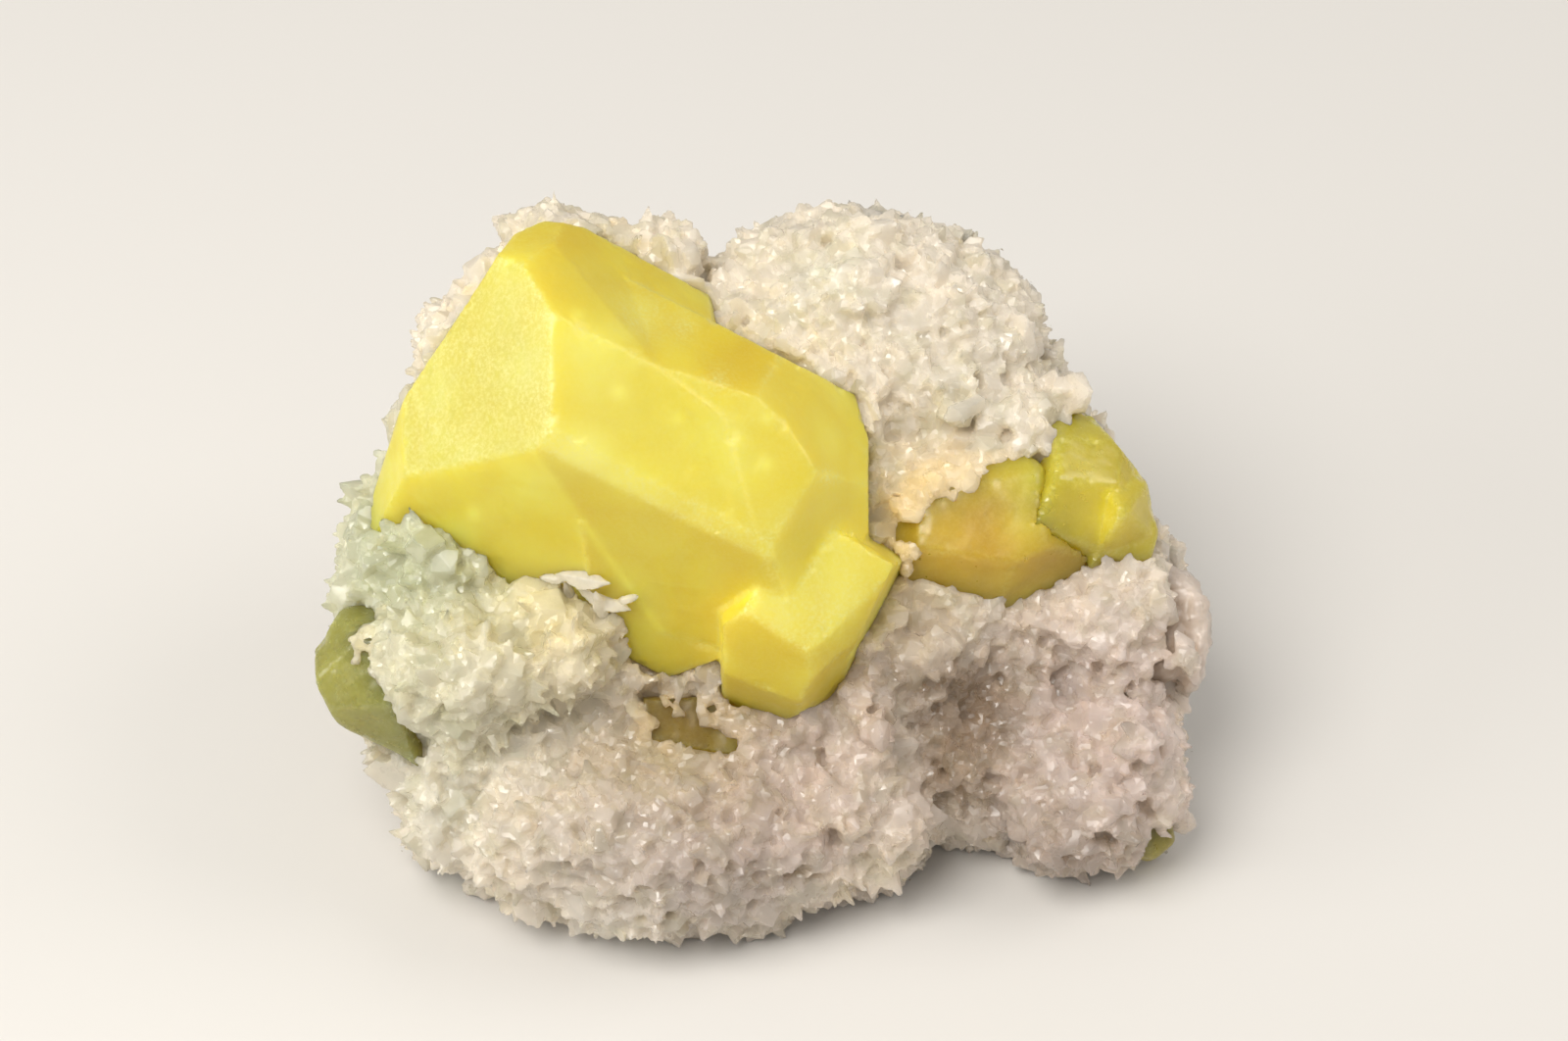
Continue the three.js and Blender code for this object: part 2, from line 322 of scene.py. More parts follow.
def store(mesh, name, values):
    """Store a number for every vertex."""
    layer = mesh.attributes.new(name, "FLOAT", "POINT")
    layer.data.foreach_set("value", values.astype(np.float32))


def dress(piece, material, crease=None):
    """Give a piece its material and smooth shading, sharp over the crease angle in degrees."""
    mesh = piece.data
    mesh.polygons.foreach_set("use_smooth", np.full(len(mesh.polygons), True))
    if crease:
        mesh.set_sharp_from_angle(angle=math.radians(crease))
    mesh.materials.clear()
    mesh.materials.append(material)


# ---- materials ----


def node_of(tree, kind, **values):
    """A new node whose inputs, or else its settings, have the given values."""
    node = tree.nodes.new(kind)
    for key, value in values.items():
        if key in node.inputs:
            node.inputs[key].default_value = value
        else:
            setattr(node, key, value)
    return node


def new_material(name, settings):
    """A material with constant shader inputs, its node tree and shader, and a place output."""
    material = bpy.data.materials.new(name)
    material.use_nodes = True
    tree = material.node_tree
    shader = tree.nodes["Principled BSDF"]
    shader.subsurface_method = "BURLEY"
    for socket, value in settings.items():
        shader.inputs[socket].default_value = value
    return material, tree, shader, node_of(tree, "ShaderNodeTexCoord").outputs["Object"]


def noise(tree, place, scale, detail=3.0, roughness=0.55, distortion=0.0, output="Fac"):
    node = node_of(tree, "ShaderNodeTexNoise", Scale=scale, Detail=detail, Roughness=roughness,
                   Distortion=distortion)
    tree.links.new(place, node.inputs["Vector"])
    return node.outputs[output]


def ramp(tree, value, stops):
    """Colours that follow a value from stop to stop."""
    node = tree.nodes.new("ShaderNodeValToRGB")
    bands = node.color_ramp.elements
    while len(bands) < len(stops):
        bands.new(0.5)
    for band, (position, colour) in zip(bands, stops):
        band.position = position
        band.color = (*colour, 1)
    tree.links.new(value, node.inputs["Fac"])
    return node.outputs["Color"]


def span(tree, value, low, high, to_low, to_high):
    """A value mapped from the range low, high to the range to_low, to_high."""
    node = tree.nodes.new("ShaderNodeMapRange")
    for socket, edge in zip(("From Min", "From Max", "To Min", "To Max"), (low, high, to_low, to_high)):
        node.inputs[socket].default_value = edge
    tree.links.new(value, node.inputs["Value"])
    return node.outputs["Result"]


def plug(tree, value, socket):
    """Link an output to a socket, or set a number or colour on it."""
    if isinstance(value, bpy.types.NodeSocket):
        tree.links.new(value, socket)
    else:
        socket.default_value = value if isinstance(value, float) else (*value, 1)


def mix(tree, factor, first, second, blend="MIX"):
    node = tree.nodes.new("ShaderNodeMix")
    node.data_type = "RGBA"
    node.blend_type = blend
    for number, value in ((0, factor), (6, first), (7, second)):
        plug(tree, value, node.inputs[number])
    return node.outputs[2]


def maths(tree, operation, *values):
    node = tree.nodes.new("ShaderNodeMath")
    node.operation = operation
    for socket, value in zip(node.inputs, values):
        plug(tree, value, socket)
    return node.outputs[0]


def attribute(tree, name, output="Color"):
    node = tree.nodes.new("ShaderNodeAttribute")
    node.attribute_name = name
    return node.outputs[output]


def bump(tree, shader, height, strength, distance, below=None):
    """Fine relief on the shader, over the relief below it if there is one."""
    node = node_of(tree, "ShaderNodeBump", Strength=strength, Distance=distance)
    tree.links.new(height, node.inputs["Height"])
    if below is not None:
        tree.links.new(below, node.inputs["Normal"])
    tree.links.new(node.outputs["Normal"], shader.inputs["Normal"])
    return node.outputs["Normal"]


def calcite_material(name, scatter, rough_low, rough_high, clear=0.0):
    """Milky calcite: the tint attribute, cloudy mottling, tiny growth relief and glints."""
    material, tree, shader, place = new_material(name, {
        "IOR": 1.6,
        "Coat Weight": 0.3,
        "Coat Roughness": 0.12,
        "Subsurface Weight": scatter,
        "Subsurface Radius": (1.0, 0.9, 0.75),
        "Subsurface Scale": 2.8 * MM,
        "Transmission Weight": clear,
    })
    cloud = span(tree, noise(tree, place, 420, 4, 0.6), 0.3, 0.7, 0.0, 0.5)
    mottled = mix(tree, cloud, attribute(tree, "tint"), (0.86, 0.84, 0.80), "SOFT_LIGHT")
    grain = span(tree, noise(tree, place, 2600, 2, 0.6), 0.35, 0.65, 0.0, 0.10)
    plug(tree, mix(tree, grain, mottled, (0.50, 0.42, 0.34)), shader.inputs["Base Color"])
    worn = span(tree, noise(tree, place, 900, 3), 0.3, 0.7, rough_low, rough_high)
    gloss = maths(tree, "MULTIPLY_ADD", attribute(tree, "shine", "Fac"), -0.4, worn)
    plug(tree, gloss, shader.inputs["Roughness"])
    low = bump(tree, shader, noise(tree, place, 1100, 4, 0.6), 0.5, 0.12 * MM)
    bump(tree, shader, noise(tree, place, 4200, 2), 0.25, 0.03 * MM, low)
    return material


def warped(tree, place, scale, amount):
    """The place output pushed about by noise."""
    node = tree.nodes.new("ShaderNodeVectorMath")
    node.operation = "MULTIPLY_ADD"
    plug(tree, noise(tree, place, scale, 1.0, 0.5, output="Color"), node.inputs[0])
    node.inputs[1].default_value = (amount, amount, amount)
    plug(tree, place, node.inputs[2])
    return node.outputs["Vector"]


def sulfur_material(name, pale, rich, deep, frosty, clear, rough_low, rough_high, density):
    """Translucent sulfur: colour zoning, frosted skin from the frost attribute, fine relief."""
    material, tree, shader, place = new_material(name, {
        "IOR": 1.9,
        "Specular IOR Level": 0.22,
        "Transmission Weight": clear,
        "Subsurface Weight": 1.0,
        "Subsurface Radius": (1.0, 0.72, 0.12),
        "Subsurface Scale": 7.0 * MM,
    })
    zone = noise(tree, place, 70, 3, 0.5, 0.4)
    colour = ramp(tree, zone, [(0.28, deep), (0.46, rich), (0.72, pale)])
    veil = noise(tree, place, 210, 5, 0.62, 0.8)
    colour = mix(tree, span(tree, veil, 0.48, 0.72, 0.0, 0.6), colour, pale)
    planes = node_of(tree, "ShaderNodeTexVoronoi", Scale=130.0, Randomness=1.0)
    planes.feature = "SMOOTH_F1"
    planes.inputs["Smoothness"].default_value = 0.12
    plug(tree, warped(tree, place, 60, 0.012), planes.inputs["Vector"])
    inner = span(tree, planes.outputs["Distance"], 0.15, 0.7, 0.0, 0.6)
    colour = mix(tree, inner, colour, deep)
    colour = mix(tree, 1.0, colour, attribute(tree, "tint"), "MULTIPLY")
    grain = noise(tree, place, 2400, 3, 0.7)
    speck = span(tree, grain, 0.42, 0.68, 0.25, 1.0)
    skin = maths(tree, "MULTIPLY", attribute(tree, "frost", "Fac"), speck)
    plug(tree, mix(tree, skin, colour, frosty), shader.inputs["Base Color"])
    worn = span(tree, noise(tree, place, 500, 4, 0.6), 0.3, 0.7, rough_low, rough_high)
    plug(tree, worn, shader.inputs["Roughness"])
    low = bump(tree, shader, noise(tree, place, 260, 4, 0.5), 0.25, 0.25 * MM)
    bump(tree, shader, grain, 0.35, 0.03 * MM, low)
    volume = node_of(tree, "ShaderNodeVolumeAbsorption", Density=density, Color=(*rich, 1))
    plug(tree, volume.outputs["Volume"], tree.nodes["Material Output"].inputs["Volume"])
    return material


SULFUR = sulfur_material("sulfur", (0.96, 0.90, 0.19), (0.94, 0.82, 0.07), (0.84, 0.65, 0.025),
                         (0.90, 0.85, 0.28), 0.2, 0.30, 0.48, 160)
SULFUR_PALE = sulfur_material("sulfur_pale", (0.78, 0.66, 0.06), (0.70, 0.56, 0.03),
                              (0.56, 0.42, 0.015), (0.90, 0.82, 0.20), 0.25, 0.12, 0.3, 160)
SULFUR_AMBER = sulfur_material("sulfur_amber", (0.76, 0.59, 0.04), (0.70, 0.48, 0.02),
                               (0.50, 0.30, 0.01), (0.86, 0.72, 0.18), 0.25, 0.25, 0.5, 200)
SULFUR_OLIVE = sulfur_material("sulfur_olive", (0.48, 0.46, 0.10), (0.36, 0.34, 0.05),
                               (0.22, 0.20, 0.02), (0.64, 0.62, 0.26), 0.25, 0.12, 0.35, 220)
DRUSE = calcite_material("calcite_druse", 1.0, 0.35, 0.6)
BLADE = calcite_material("calcite_clear", 0.9, 0.2, 0.4, 0.1)

# ---- sulfur crystals ----

FACE_ANGLE = math.radians(16)  # sharper edges than this lie between two faces
ZONE_AXIS = 0.894 * ACROSS - 0.447 * UP  # direction shared by the long edges of the cluster


def edge_points(mesh):
    """A search tree of points along the edges between the faces of a crystal."""
    bm = bmesh.new()
    bm.from_mesh(mesh)
    found = []
    for edge in bm.edges:
        if len(edge.link_faces) == 2 and edge.calc_face_angle() > FACE_ANGLE:
            a, b = (np.array(v.co) for v in edge.verts)
            steps = max(2, int(np.linalg.norm(b - a) / (0.35 * MM)))
            found.extend(a + (b - a) * (i / steps) for i in range(steps + 1))
    bm.free()
    return point_tree(found)


def facing(tilt, bearing):
    """World direction of a face given by its tilt and bearing on the display face."""
    t, b = math.radians(tilt), math.radians(bearing)
    return np.array([math.sin(t) * math.cos(b), math.sin(t) * math.sin(b), math.cos(t)]) @ FACE_AXES


def facet_looks(points, tree, looks):
    """Tint and frost of each point from the crystal face that it lies on; the tint is partly painted
    light and shade for the way the face is turned.
    """
    faces = np.array([tree.find_nearest(p)[1] for p in points])
    tint = np.ones((len(points), 3))
    frost = np.zeros(len(points))
    spot = to_face(points)
    for tilt, bearing, shade, frosting, *place in looks:
        amount = smoothstep(0.985, 0.995, faces @ facing(tilt, bearing))
        if place:
            amount = amount * np.exp(-reaches_from(spot, place[:2], place[2]) ** 4)
        tint = tint * (1 - amount[:, None]) + np.array(shade) * amount[:, None]
        frost = frost * (1 - amount) + frosting * amount
    return tint, frost


def soften(mesh, values, rounds):
    """Spread per-vertex values over their neighbours."""
    edges = np.empty(len(mesh.edges) * 2, np.int32)
    mesh.edges.foreach_get("vertices", edges)
    a, b = edges.reshape(-1, 2).T
    count = np.bincount(edges, minlength=len(values))[:, None] + 1
    values = values.reshape(len(values), -1)
    for _ in range(rounds):
        total = values.copy()
        for i in range(values.shape[1]):
            total[:, i] += np.bincount(a, values[b, i], len(values))
            total[:, i] += np.bincount(b, values[a, i], len(values))
        values = total / count
    return values


def sulfur_piece(node, material, voxel, bevel, waves, seed, rounding=0, chips=0.22,
                 frost=0.25, swell=0, looks=(), glows=()):
    """A sulfur crystal grown from its node: bevelled, finely meshed, with relief and chips.

    The voxel, the bevel, the waves, the chips and the swell are in mm.
    """
    piece = copy_of_node(node + "_skin", node, True)
    edges = edge_points(piece.data)
    plain = tree_of(piece.data)
    modify(piece, "BEVEL", width=bevel * MM, segments=2, limit_method="ANGLE",
           angle_limit=FACE_ANGLE, use_clamp_overlap=True)
    tree = tree_of(piece.data)
    remesh(piece, voxel * MM)
    points = positions(piece.data)
    points = np.array([tree.find_nearest(p)[0] for p in points])
    set_positions(piece.data, points)
    if rounding:
        modify(piece, "SMOOTH", iterations=rounding, factor=0.5)
        points = positions(piece.data)
    out = normals(piece.data)
    gap = np.array([edges.find(p)[2] for p in points]) / MM
    near = 1 - smoothstep(0.0, 1.3, gap)
    wave = (fbm(points, 7.0, seed) - 0.5) * waves
    hills = (fbm(points, 1.6, seed + 3, 2) - 0.5) * waves * 0.35
    along = points @ ZONE_AXIS / MM + fbm(points, 5.0, seed + 5) * 3.0
    stair = np.floor(along / 1.7)
    terrace = (np.modf(stair * 0.618)[0] - 0.5) * 0.05 * (fbm(points, 6.0, seed + 7) > 0.5)
    chip = smoothstep(0.56, 0.72, fbm(points, 1.5, seed + 11, 2)) * near * chips
    points = points + out * ((swell + wave + hills + terrace - chip) * MM)[:, None]
    set_positions(piece.data, points)
    tint, frosting = facet_looks(points, plain, looks)
    spot = to_face(points)
    front = out @ OUT > 0
    glint = np.zeros(len(points))
    # Spots facing front: tints, among them painted highlights and painted shade, chipping, and painted
    # glints in the frost.
    for centre, reach, shade, damage in glows:
        amount = np.exp(-reaches_from(spot, centre, reach) ** 2) * front
        tint = tint * (1 + (np.array(shade) - 1) * amount[:, None])
        if damage > 0:
            chip = np.maximum(chip, damage * (0.3 + 1.4 * fbm(points, 0.9, seed + 37, 2)) * amount)
        else:
            glint = np.maximum(glint, -damage * amount)
    skin = (frost + frosting) * (0.35 + 1.3 * fbm(points, 6.0, seed + 19))
    rim = 1 - smoothstep(0.0, 0.7, gap)
    skin = skin + 0.6 * rim * fbm(points, 0.9, seed + 23, 2) + 1.2 * chip + glint
    skin = np.clip(skin, 0, 1)
    store(piece.data, "frost", soften(piece.data, skin, 1)[:, 0])
    paint(piece.data, soften(piece.data, tint, 2))
    dress(piece, material, 30)
    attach(piece, "root")
    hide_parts(node)


# Look of the faces of the main cluster: tilt, bearing, tint, frost and, where only one of
# several parallel faces is meant, its place on the display face: x, y, reach. The tints are
# partly painted light and shade for the way each face is turned.
CLUSTER_LOOKS = [
    (14, 10, (0.98, 1.0, 1.0), 0.05),  # broad front face
    (37, 177, (0.81, 0.86, 0.95), 0.6),  # frosted left face
    (28, 265, (1.0, 1.02, 1.1), 0.35),  # narrow bevel with a painted highlight
    (45, 255, (1.04, 1.07, 0.85), 0.0),  # lower face
    (52, 245, (1.04, 1.07, 0.85), 0.0),
    (67, 179, (0.97, 1.0, 0.8), 0.1),
    (48, 53, (0.98, 0.96, 0.75), 0.0),
    (61, 48, (0.97, 0.91, 0.5), 0.0),  # deep orange upper faces: painted shade of the base reflected inside
    (61, 94, (0.95, 0.94, 0.6), 0.05),
    (51, 63, (0.97, 0.91, 0.5), 0.0),
    (53, 39, (1.03, 1.0, 0.75), 0.0),
    (55, 29, (1.05, 1.03, 0.85), 0.0),
    (48, 336, (1.04, 1.03, 0.9), 0.05),
    (14, 10, (0.97, 0.97, 0.95), 0.5, 4, -3, 9),  # grainy step of the lower right crystal
    (44, 250, (0.88, 0.82, 0.4), 0.0),
    (51, 322, (0.96, 0.93, 0.6), 0.1),
    (68, 250, (0.82, 0.74, 0.3), 0.0),
    (70, 315, (0.88, 0.80, 0.4), 0.0),
]

PAINTED_HIGHLIGHT = (1.14, 1.24, 2.0)  # painted highlight: tint of the bright points of light inside the cluster

# Places (x, y) on the display face where light gathers inside, where a patch is deeper and
# where the surface is chipped: reach, tint, and chipping over 0 or a glint under 0.
CLUSTER_GLOWS = [
    ((-31.0, 6.2), 0.7, PAINTED_HIGHLIGHT, 0.0),
    ((-31.0, 6.2), 3.0, (1.06, 1.09, 1.3), 0.0),
    ((-19.5, 26.5), 0.6, PAINTED_HIGHLIGHT, 0.0),
    ((-19.5, 26.5), 2.4, (1.05, 1.08, 1.2), 0.0),
    ((-15.2, 18.5), 0.8, PAINTED_HIGHLIGHT, 0.0),
    ((-9.2, 15.8), 0.5, PAINTED_HIGHLIGHT, 0.0),
    ((0.1, 15.9), 0.5, PAINTED_HIGHLIGHT, 0.0),
    ((0.0, 11.2), 0.7, PAINTED_HIGHLIGHT, 0.0),
    ((-5, 14), 5.0, (1.02, 1.03, 1.1), -0.12),
    ((-23, -0.5), 3.6, (0.96, 0.86, 0.6), 0.0),
    ((-28, 3), 3.0, (0.99, 0.94, 0.8), 0.0),
    ((4, 12), 5.0, (0.98, 0.95, 0.85), 0.0),
    ((-2, 21), 4.5, (0.97, 0.91, 0.7), 0.0),
    ((3, 2), 3.5, (0.95, 0.97, 0.85), 0.0),
    ((-13, 27.0), 2.6, (1.0, 1.0, 1.1), 0.5),
    ((-9, 26.0), 1.6, (1.0, 1.0, 1.1), 0.5),
    ((-5, 19.7), 1.2, (1.0, 1.0, 1.1), 0.55),
    ((6.4, 10), 1.1, (1.0, 1.0, 1.1), 0.5),
]

# The patch of sulfur on the right grades from amber to the paler crystal beside it.
AMBER_GLOWS = [
    ((24, 3), 4.5, (1.0, 0.88, 0.7), 0.0),
    ((18, 3), 4.5, (1.0, 0.88, 0.7), 0.0),
    ((29, 9), 4.5, (0.96, 1.12, 1.0), -0.15),
]
# Painted highlights on the paler crystal on the right, with a painted glint at its edge.
RIGHT_GLOWS = [
    ((37.5, 5.5), 1.3, (1.08, 1.08, 1.2), -0.6),
    ((34, 13), 5.0, (1.03, 1.06, 1.1), -0.15),
]

# Painted shade over the sulfur in the pocket under the cluster, and over the sulfur in the shaded lower
# right corner.
POCKET_PAINTED_SHADE = [((-10, -16), 12.0, (0.44, 0.34, 0.06), 0.0)]
CORNER_PAINTED_SHADE = [((43, -27), 12.0, (0.34, 0.35, 0.42), 0.0)]

sulfur_piece("main_sulfur_cluster", SULFUR, 0.40, 0.18, 0.10, 3, frost=0.12,
             looks=CLUSTER_LOOKS, glows=CLUSTER_GLOWS)
sulfur_piece("right_sulfur", SULFUR_PALE, 0.38, 0.4, 0.25, 31,
             rounding=2, frost=0.12, swell=0.25, glows=RIGHT_GLOWS)
sulfur_piece("amber_sulfur", SULFUR_AMBER, 0.40, 0.5, 0.45, 47,
             rounding=4, frost=0.15, swell=0.25, glows=AMBER_GLOWS)
sulfur_piece("left_sulfur", SULFUR_OLIVE, 0.34, 0.5, 0.6, 59,
             rounding=6, frost=0.2)
sulfur_piece("pocket_sulfur", SULFUR_AMBER, 0.36, 0.4, 0.5, 61,
             rounding=3, frost=0.1, glows=POCKET_PAINTED_SHADE)
sulfur_piece("lower_right_sulfur", SULFUR_AMBER, 0.25, 0.3, 0.4, 67,
             rounding=2, frost=0.1, swell=0.6, glows=CORNER_PAINTED_SHADE)
sulfur_piece("rear_sulfur", SULFUR, 0.3, 0.3, 0.2, 71, frost=0.2)
sulfur_piece("lower_left_sulfur", SULFUR_OLIVE, 0.25, 0.3, 0.3, 73,
             rounding=2, frost=0.1)

# ---- the bed of the matrix ----

BED_DEPTH = 1.4  # how far the bed lies under the envelope of the druse, mm
BED_RELIEF = 1.6  # height of its own lumps, mm
CONTACT_SWELL = 0.75  # how far it closes in on the sulfur set in it, mm
BASE_CLEAR = 0.6  # height over the base below which nothing is moved, mm
BASE_FLAT = 0.35  # height over the base below which the bed is made flat, mm

# Where the bed departs from the envelope: place (x, y) on the display face, reach, and shift
# (x, y, z) on that face, mm. A shift in z is for the front of the specimen only.
SHIFTS = [
    ((-47, 16), 7.5, (6.0, 0.0, 0.0)),
    ((-38, -1), 4.0, (-0.6, -0.8, -2.4)),
    ((-32, -3), 4.0, (0.0, -0.8, -2.4)),
    ((-27, -6), 3.5, (0.0, -0.6, -1.8)),
    ((22, -14.5), 4.5, (0.0, 0.0, -2.5)),
    ((-20.5, -17), 4.5, (0.0, 0.0, 2.4)),
    ((-28, -18), 4.0, (0.0, 0.0, 1.4)),
    ((0, 34), 6.0, (-2.5, 1.0, 0.0)),
    ((8, 39), 7.0, (0.0, 1.6, 0.0)),
    ((38.5, 19), 5.0, (-1.8, -0.4, 0.0)),
    ((28, 30), 4.5, (1.5, 1.0, 0.0)),
    ((43.5, -13.5), 4.5, (3.4, 0.0, 0.0)),
    ((27.5, -31), 5.0, (1.4, -1.4, 0.0)),
    ((-24, -41), 10.0, (0.8, 1.8, 0.0)),
]

sulfur_surface = bmesh.new()
for node in SULFUR_NODES:
    sulfur_surface.from_mesh(NODES[node].data)
sulfur_tree = BVHTree.FromBMesh(sulfur_surface)
sulfur_surface.free()

bed = copy_of_node("calcite_bed", "calcite_matrix", False)
envelope = tree_of(bed.data)
remesh(bed, 1.0 * MM)
start = positions(bed.data)
modify(bed, "SMOOTH", iterations=6, factor=0.5)
points = positions(bed.data)
contact = distances(sulfur_tree, start)
free = smoothstep(0.5, 3.0, contact)
points = start + (points - start) * free[:, None]
set_positions(bed.data, points)
out = normals(bed.data)
height = points[:, 2] / MM
sunk = BED_DEPTH * free * smoothstep(BASE_CLEAR, 3.0, height)
lifted = smoothstep(BASE_CLEAR, 2.0, height)
rough = (fbm(points, 4.0, 81) - 0.5) * BED_RELIEF * free * lifted
swell = CONTACT_SWELL * (1 - smoothstep(0.5, 1.5, contact)) * lifted
spot = to_face(points)
over = np.array([(Vector(p) - sulfur_tree.find_nearest(p)[0]).dot(Vector(n)) > 0
                 for p, n in zip(points, out)])
swell = np.where(over, 0, swell)
points = points + out * ((rough - sunk + swell) * MM)[:, None]
loose = np.where(over, 1, smoothstep(0, 4.0, contact)) * smoothstep(BASE_CLEAR, 4.0, height)
for place, reach, shift in SHIFTS:
    amount = np.exp(-reaches_from(spot, place, reach) ** 2) * loose
    if shift[2]:
        amount *= smoothstep(-6, 4, spot[:, 2])
    points += amount[:, None] * (np.array(shift) @ FACE_AXES) * MM
points[:, 2] = np.maximum(points[:, 2], 0)
set_positions(bed.data, points)
remesh(bed, 0.8 * MM)
points = positions(bed.data)
points[:, 2] = np.where(points[:, 2] < BASE_FLAT * MM, 0, points[:, 2])
set_positions(bed.data, points)

# ---- druse ----

DRUSE_VOXEL = 0.34 * MM  # resolution that the crystals are merged at
DRUSE_TRIANGLES = 188000  # most triangles in one piece of the druse
SEAM_MARGIN = 0.5 * MM  # how far one half of the druse reaches into the other
SEAM_WANDER = 20 * MM  # how much the crystals stray over the seam
LEAST_RISE = 1.2  # how far a crystal stands out of the bed at least, mm
TIP_LIMIT = 2.0  # how far a crystal may stand out of the envelope, mm
VEIL_REACH = 6.0 * MM  # how far over the sulfur a tip still hides it
VEIL_GAP = 4.0  # farther from the sulfur than this a crystal may hide it, mm
LONG_CRYSTAL = 2.0  # a hiding crystal is halved if it is longer, mm
HUB_PITCH = 7.0  # distance of the tufts that the crystals fan out from, mm
HUB_DEPTH = 4.5  # how deep under the bed the crystals of a tuft meet, mm
HUB_REACH = 4.6  # radius of a tuft, mm
HUB_RISE = 2.4  # most height of the middle of a tuft, mm
BED_SHADE = np.array([0.93, 0.89, 0.82])  # painted shade: tint of the bed between the crystals
OVERGROWN = np.array([1.08, 1.02, 0.88])  # of the druse that stands on the sulfur
CLEARER = np.array([0.86, 0.87, 0.81])  # and of the crystals that are less milky
CLEAR_SHARE = 0.3

# Middle line of the smooth rind at the right edge on the display face, and its thickness, mm.
RIND = [
    ((42.5, 0.8, -2.6), 1.0),
    ((45.2, -0.9, -1.4), 1.5),
    ((47.2, -3.4, -0.8), 1.7),
    ((48.0, -6.0, -0.8), 1.6),
    ((47.9, -8.8, -1.2), 1.8),
    ((47.2, -11.4, -1.8), 1.5),
    ((46.0, -13.4, -2.6), 1.1),
]
RIND_DEPTH = 3.8  # how much deeper the rind is than thick
RIND_PLACE = (45.9, -6.2, -1.5)  # where no crystals stand, and how far that reaches
RIND_REACH = (5.2, 8.4, 5.2)
RIND_HOLLOW = np.array([0.68, 0.60, 0.52])  # painted shade: browner, darker tint of the hollow side of the rind
FILL_PLACE = (43.0, -6.2, -0.9)  # middle of the hollow side of the rind, and its half sizes
FILL_SIZE = (5.0, 7.4, 3.4)


def scatter(mesh, count, rng):
    """Random points over a mesh with the face normals there."""
    points = positions(mesh)
    tri = triangles(mesh)
    a, b, c = points[tri[:, 0]], points[tri[:, 1]], points[tri[:, 2]]
    cross = np.cross(b - a, c - a)
    area = np.linalg.norm(cross, axis=1)
    pick = rng.choice(len(tri), count, p=area / area.sum())
    u = np.sqrt(rng.random((count, 1)))
    v = rng.random((count, 1))
    spots = a[pick] * (1 - u) + b[pick] * (u * (1 - v)) + c[pick] * (u * v)
    return spots, cross[pick] / np.maximum(area[pick, None], 1e-20)


def thin(points, pitch, rng):
    """Indices that keep at most one point in each cell of the given pitch."""
    order = rng.permutation(len(points))
    cells = np.floor(points[order] / (pitch * MM)).astype(np.int64)
    _, first = np.unique(cells, axis=0, return_index=True)
    return order[np.sort(first)]


# Crystal shapes: length 1 from the seat at z = 0 to the tip, radius 1, closed below the seat.
def dogtooth():
    """A six-sided pointed crystal with a zigzag girdle, as calcite grows."""
    ring = [(math.cos(i * math.pi / 3) * (1 if i % 2 else 0.84),
             math.sin(i * math.pi / 3) * (1 if i % 2 else 0.84),
             0.26 if i % 2 else 0.08) for i in range(6)]
    v = [(0, 0, 1.0), *ring, (0, 0, -0.5)]
    f = [(0, 1 + i, 1 + (i + 1) % 6) for i in range(6)]
    f += [(7, 1 + (i + 1) % 6, 1 + i) for i in range(6)]
    return np.array(v), np.array(f)


def nailhead():
    """A short prism with a blunt three-faced end."""
    low = [(0.85 * math.cos(i * math.pi / 3), 0.85 * math.sin(i * math.pi / 3), -0.3)
           for i in range(6)]
    high = [(math.cos(i * math.pi / 3), math.sin(i * math.pi / 3), 0.62 if i % 2 else 0.4)
            for i in range(6)]
    v = [(0, 0, 0.86), *high, *low, (0, 0, -0.5)]
    f = [(0, 1 + i, 1 + (i + 1) % 6) for i in range(6)]
    for i in range(6):
        j = (i + 1) % 6
        f += [(1 + i, 7 + i, 7 + j), (1 + i, 7 + j, 1 + j), (13, 7 + j, 7 + i)]
    return np.array(v), np.array(f)


def shard():
    """A flattened blade with a slanting point."""
    v = [(-0.75, -0.4, -0.3), (0.8, -0.45, -0.3), (0.75, 0.45, -0.3), (-0.8, 0.4, -0.3),
         (-0.95, -0.4, 0.4), (0.7, -0.5, 0.62), (0.75, 0.4, 0.66), (-0.9, 0.35, 0.44),
         (-0.15, -0.06, 1.0), (-0.05, 0.12, 0.97)]
    f = [(0, 2, 1), (0, 3, 2), (0, 1, 5), (0, 5, 4), (1, 2, 6), (1, 6, 5), (2, 3, 7), (2, 7, 6),
         (3, 0, 4), (3, 4, 7), (4, 5, 8), (5, 6, 9), (5, 9, 8), (6, 7, 9), (7, 4, 8), (7, 8, 9)]
    return np.array(v, float), np.array(f)


SHAPES = [dogtooth(), nailhead(), shard()]


